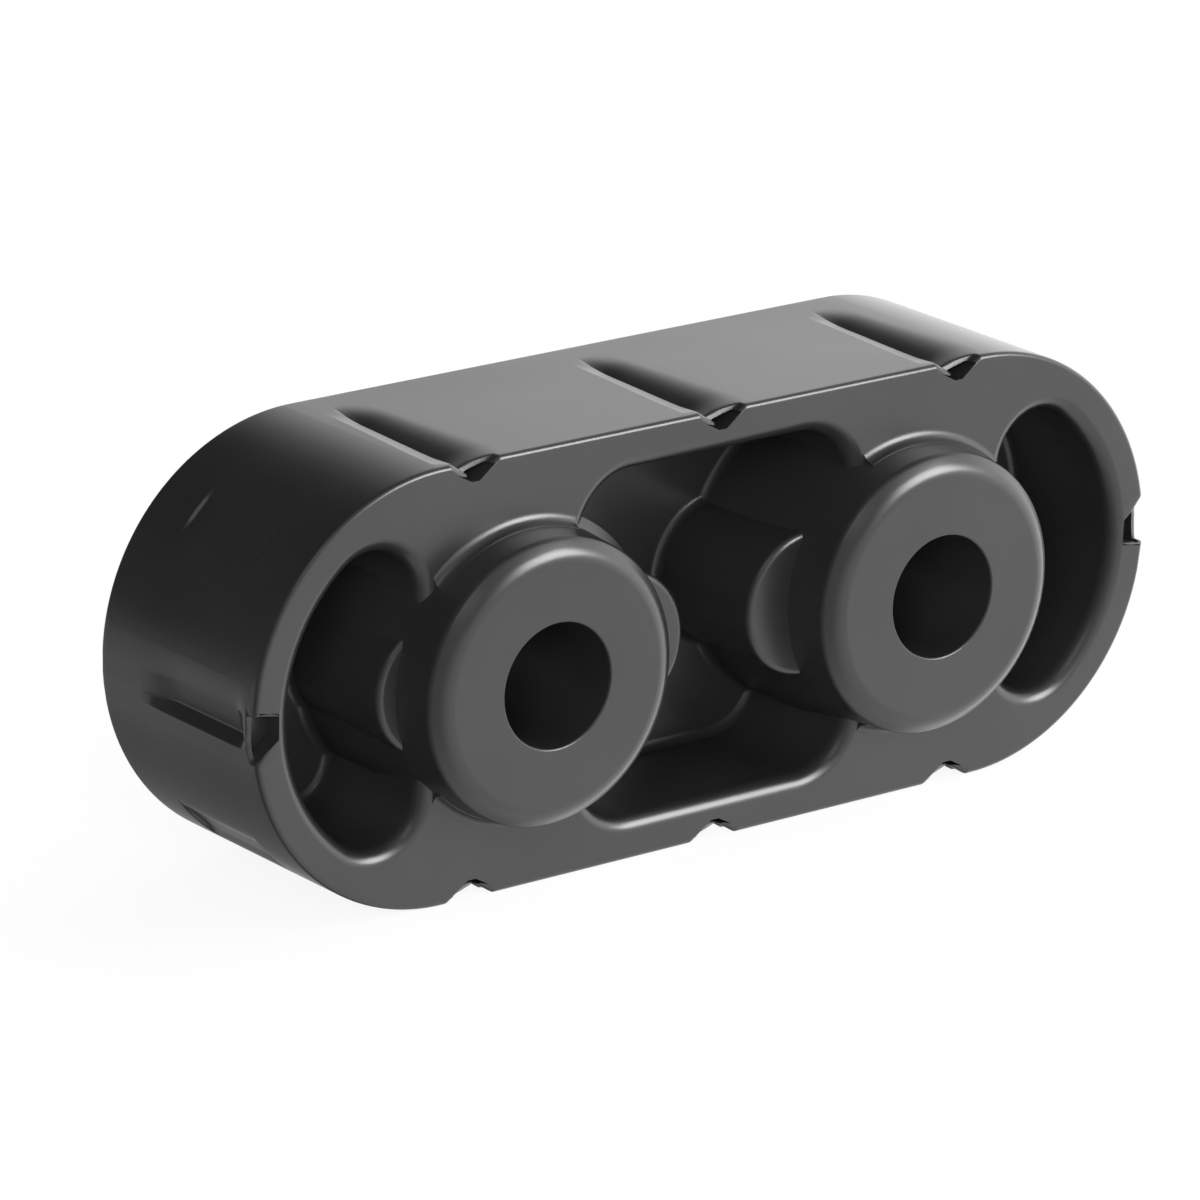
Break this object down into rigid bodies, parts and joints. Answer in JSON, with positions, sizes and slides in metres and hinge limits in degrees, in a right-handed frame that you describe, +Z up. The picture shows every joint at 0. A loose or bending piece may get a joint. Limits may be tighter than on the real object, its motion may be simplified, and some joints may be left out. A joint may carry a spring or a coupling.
{
  "type": "exhaust hanger rubber",
  "caption": "Oblong moulded rubber hanger: bored round hubs held inside an outer band, with bump pads, blind pockets and edge grooves.",
  "frame": {"origin": "middle of the footprint on the surface that the part stands on, long side down", "axes": "+X along the length, from the end with the blank panel to the other; +Z up; the grooved, notched front faces -Y"},
  "size_m": [0.095, 0.032, 0.038],
  "materials": {
    "rubber": "satin black moulded rubber"
  },
  "bodies": {
    "root": {"hanger_rubber": "rubber"}
  },
  "joints": []
}
